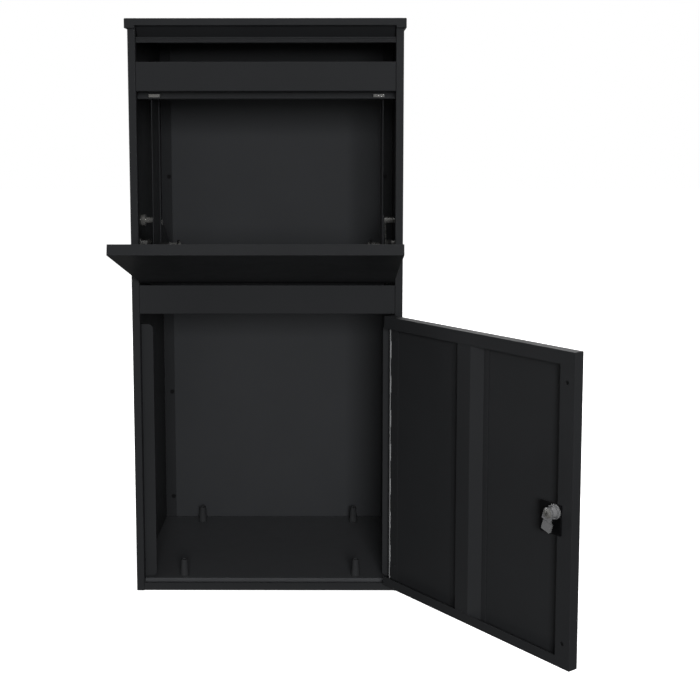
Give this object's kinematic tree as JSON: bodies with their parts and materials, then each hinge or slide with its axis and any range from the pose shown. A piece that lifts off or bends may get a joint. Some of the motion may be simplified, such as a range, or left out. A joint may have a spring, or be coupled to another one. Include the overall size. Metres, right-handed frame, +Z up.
{
  "type": "parcel drop box",
  "caption": "Tall black sheet-steel parcel drop box with letter slot, pull-down parcel flap linked to an anti-fishing baffle, and a locking collection door.",
  "frame": {"origin": "centre of the four ground anchor bores, at the base plane", "axes": "+Z up along the cabinet's height, +Y from the front plane towards the back panel, +X to the right seen from the front"},
  "size_m": [0.6861, 0.7044, 0.96],
  "materials": {
    "powder_coat": "satin black powder coat",
    "black_hardware": "black zinc plate",
    "zinc_steel": "bright zinc plate",
    "hinge_steel": "plain rolled steel",
    "lock_chrome": "bright plated",
    "black_rubber": "matt",
    "grey_plastic": "moulded"
  },
  "bodies": {
    "cabinet": {"left_side_panel": "powder_coat", "right_side_panel": "powder_coat", "back_panel": "powder_coat", "back_panel_rivets": "black_hardware", "roof_cap": "powder_coat", "upper_fascia": "powder_coat", "lower_fascia": "powder_coat", "front_sill": "powder_coat", "inlet_sill": "powder_coat", "floor_pan": "powder_coat", "anchor_bushes": "grey_plastic", "letter_visor": "powder_coat", "flap_stop_rail": "powder_coat", "flap_catches": "zinc_steel", "left_guard": "powder_coat", "right_guard": "powder_coat", "left_door_stop": "powder_coat", "right_door_stop": "powder_coat", "baffle_pivot_studs": "zinc_steel", "flap_stop_studs": "zinc_steel", "flap_stop_sleeves": "black_rubber", "flap_pivot_pins": "zinc_steel", "hinge_frame_leaf": "hinge_steel", "hinge_pin": "hinge_steel"},
    "flap": {"flap_panel": "powder_coat", "flap_liner": "powder_coat", "left_flap_arm": "powder_coat", "right_flap_arm": "powder_coat", "crank_pins": "zinc_steel", "arm_screws": "zinc_steel"},
    "left_link": {"left_link": "zinc_steel"},
    "right_link": {"right_link": "zinc_steel"},
    "baffle": {"baffle_tray": "powder_coat", "left_baffle_ear": "powder_coat", "right_baffle_ear": "powder_coat", "baffle_tabs": "black_hardware", "baffle_bolts": "zinc_steel", "baffle_spacers": "zinc_steel", "ear_pins": "zinc_steel"},
    "door": {"door_panel": "powder_coat", "door_stiffener": "powder_coat", "hinge_door_leaf": "hinge_steel", "hinge_rivets": "hinge_steel", "lock_body": "lock_chrome", "lock_nut": "lock_chrome", "lock_guard_plate": "black_hardware"},
    "lock": {"lock_plug": "lock_chrome", "lock_cam": "lock_chrome", "cam_bolt": "zinc_steel"}
  },
  "joints": [
    {"name": "flap_hinge", "type": "hinge", "parent": "cabinet", "child": "flap", "pos_m": [0, -0.171, 0.536], "axis": [-1, 0, 0], "range_deg": [0, 75.5]},
    {"name": "baffle_pivot", "type": "hinge", "parent": "cabinet", "child": "baffle", "pos_m": [0, -0.071, 0.625], "axis": [-1, 0, 0], "range_deg": [0, 75.5]},
    {"name": "left_link_pivot", "type": "hinge", "parent": "flap", "child": "left_link", "pos_m": [-0.201, -0.12668, 0.52819], "axis": [1, 0, 0], "range_deg": [0, 75.5]},
    {"name": "right_link_pivot", "type": "hinge", "parent": "flap", "child": "right_link", "pos_m": [0.201, -0.12668, 0.52819], "axis": [1, 0, 0], "range_deg": [0, 75.5]},
    {"name": "door_hinge", "type": "hinge", "parent": "cabinet", "child": "door", "pos_m": [0.2065, -0.18, 0.24], "axis": [0, 0, 1], "range_deg": [-127.2, 32.8]},
    {"name": "lock_turn", "type": "hinge", "parent": "door", "child": "lock", "pos_m": [0.43032, -0.49472, 0.242], "axis": [-0.7965, -0.6046, 0], "range_deg": [0, 107]}
  ],
  "couplings": [
    {"joint": "baffle_pivot", "follows": "flap_hinge", "ratio": 1},
    {"joint": "left_link_pivot", "follows": "flap_hinge", "ratio": 1},
    {"joint": "right_link_pivot", "follows": "flap_hinge", "ratio": 1}
  ]
}
